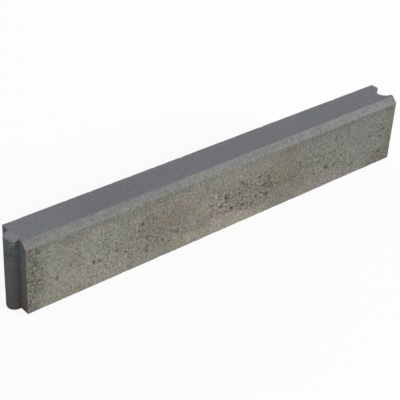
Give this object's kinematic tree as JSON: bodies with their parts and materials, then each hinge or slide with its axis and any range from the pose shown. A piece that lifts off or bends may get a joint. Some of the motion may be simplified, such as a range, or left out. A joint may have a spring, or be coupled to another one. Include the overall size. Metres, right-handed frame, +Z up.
{
  "type": "concrete kerb stone",
  "caption": "Straight concrete edging kerb with a chamfered front top edge, a round tongue at one end and a matching groove at the other, laid end to end along a path.",
  "frame": {"origin": "middle of the bed face, halfway along the laying length, which runs from shoulder to shoulder and leaves out the tongue", "axes": "+X along the kerb from the tongue end to the groove end, +Y from the chamfered front to the back, +Z up"},
  "size_m": [1.02, 0.08, 0.16],
  "materials": {
    "concrete": "matt cast concrete, grey, with open pores on the faces that the mould made"
  },
  "bodies": {
    "root": {"kerb_stone": "concrete"}
  },
  "joints": []
}
